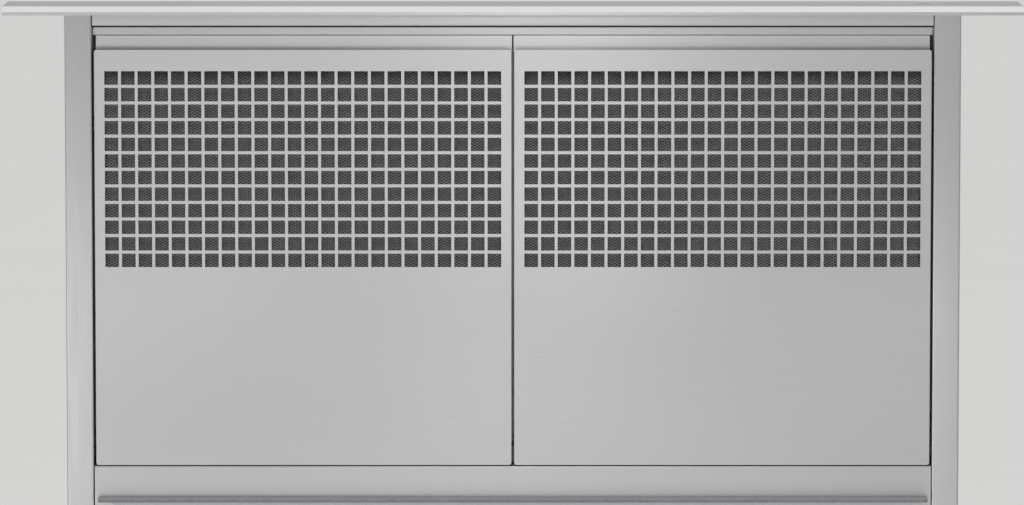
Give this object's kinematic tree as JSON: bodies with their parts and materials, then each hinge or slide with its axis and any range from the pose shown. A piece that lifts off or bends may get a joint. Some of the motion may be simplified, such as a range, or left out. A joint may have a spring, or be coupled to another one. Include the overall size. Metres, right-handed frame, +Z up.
{
  "type": "downdraft vent",
  "caption": "Pop-up kitchen downdraft vent: a flat steel column with perforated covers rises out of a thin chassis that carries a scroll blower, lift screws and feet.",
  "frame": {"origin": "on the cabinet floor, under the middle of the appliance's width and depth, with the column raised", "axes": "+X to the right seen from the cook's side, -Y towards the cook, +Z up"},
  "size_m": [0.762, 0.2662, 1.0832],
  "materials": {
    "stainless": "stainless steel sheet, grained and satin",
    "galvanised": "galvanised steel sheet, matt spangle",
    "aluminium": "plain aluminium",
    "steel": "bright drawn steel",
    "brass": "turned brass",
    "grey_rubber": "soft grey elastomer, matt",
    "black_rubber": "black belt rubber, matt",
    "black_plastic": "moulded black plastic",
    "white_nylon": "natural nylon",
    "board": "green circuit board",
    "motor_paint": "dark grey motor paint"
  },
  "bodies": {
    "chassis": {"chassis_front_panel": "galvanised", "chassis_back_panel": "galvanised", "left_chassis_side": "galvanised", "right_chassis_side": "galvanised", "chassis_bottom_pan": "galvanised", "front_wiper_strip": "grey_rubber", "left_floor_bracket": "galvanised", "right_floor_bracket": "galvanised", "left_guide_rail": "steel", "right_guide_rail": "steel", "left_upper_bearing": "black_plastic", "right_upper_bearing": "black_plastic", "left_lower_bearing": "black_plastic", "right_lower_bearing": "black_plastic", "motor_bracket": "galvanised", "lift_gearmotor": "motor_paint", "sync_belt": "black_rubber", "drive_belt": "black_rubber", "blower_wrapper": "galvanised", "blower_back_plate": "galvanised", "blower_front_plate": "galvanised", "blower_motor": "motor_paint", "duct_collar": "galvanised", "control_box": "galvanised", "control_box_lid": "galvanised", "cable_gland": "black_plastic"},
    "column": {"cap": "stainless", "cap_base_plate": "galvanised", "control_board": "board", "left_post": "stainless", "right_post": "stainless", "top_rail": "stainless", "bottom_rail": "stainless", "header": "stainless", "column_back_sheet": "stainless", "centre_mullion": "galvanised", "magnet_strip": "black_plastic", "cover_hinge_rod": "steel", "lift_crossbar": "galvanised", "left_lift_nut": "brass", "right_lift_nut": "brass", "left_slide_shoe": "white_nylon", "right_slide_shoe": "white_nylon"},
    "left_cover": {"left_cover": "stainless", "left_pull": "stainless", "left_filter_frame": "aluminium", "left_filter_mesh": "aluminium"},
    "right_cover": {"right_cover": "stainless", "right_pull": "stainless", "right_filter_frame": "aluminium", "right_filter_mesh": "aluminium"},
    "lift_button": {"lift_button": "black_plastic"},
    "fan_button": {"fan_button": "black_plastic"},
    "left_screw": {"left_lift_screw": "steel", "left_screw_pulley": "aluminium"},
    "right_screw": {"right_lift_screw": "steel", "right_screw_pulley": "aluminium"},
    "motor_shaft": {"motor_pulley": "aluminium"},
    "blower_rotor": {"blower_wheel": "galvanised"},
    "damper": {"damper_disc": "galvanised"}
  },
  "joints": [
    {"name": "chimney_lift", "type": "slide", "parent": "chassis", "child": "column", "axis": [0, 0, 1], "range_m": [-0.3632, 0]},
    {"name": "left_cover_tilt", "type": "hinge", "parent": "column", "child": "left_cover", "pos_m": [-0.1571, 0.08115, 0.7533], "axis": [1, 0, 0], "range_deg": [0, 25]},
    {"name": "right_cover_tilt", "type": "hinge", "parent": "column", "child": "right_cover", "pos_m": [0.1571, 0.08115, 0.7533], "axis": [1, 0, 0], "range_deg": [0, 25]},
    {"name": "lift_button_press", "type": "slide", "parent": "column", "child": "lift_button", "axis": [0, 0, -1], "range_m": [0, 0.0008], "stiffness_N_per_m": 600, "springref_m": -0.001},
    {"name": "fan_button_press", "type": "slide", "parent": "column", "child": "fan_button", "axis": [0, 0, -1], "range_m": [0, 0.0008], "stiffness_N_per_m": 600, "springref_m": -0.001},
    {"name": "blower_spin", "type": "hinge", "parent": "chassis", "child": "blower_rotor", "pos_m": [0.06, -0.00685, 0.22], "axis": [0, 1, 0], "continuous": true},
    {"name": "damper_swing", "type": "hinge", "parent": "chassis", "child": "damper", "pos_m": [-0.1303, -0.00685, 0.152], "axis": [0, 1, 0], "range_deg": [0, 80]},
    {"name": "left_screw_spin", "type": "hinge", "parent": "chassis", "child": "left_screw", "pos_m": [-0.3462, 0.1119, 0.41], "axis": [0, 0, 1], "continuous": true},
    {"name": "right_screw_spin", "type": "hinge", "parent": "chassis", "child": "right_screw", "pos_m": [0.3462, 0.1119, 0.41], "axis": [0, 0, 1], "continuous": true},
    {"name": "motor_spin", "type": "hinge", "parent": "chassis", "child": "motor_shaft", "pos_m": [0.24, 0.1049, 0.09], "axis": [0, 0, 1], "continuous": true}
  ],
  "couplings": [
    {"joint": "left_screw_spin", "follows": "chimney_lift", "rad_per_m": -314.16},
    {"joint": "right_screw_spin", "follows": "chimney_lift", "rad_per_m": -314.16},
    {"joint": "motor_spin", "follows": "chimney_lift", "rad_per_m": -314.16}
  ]
}
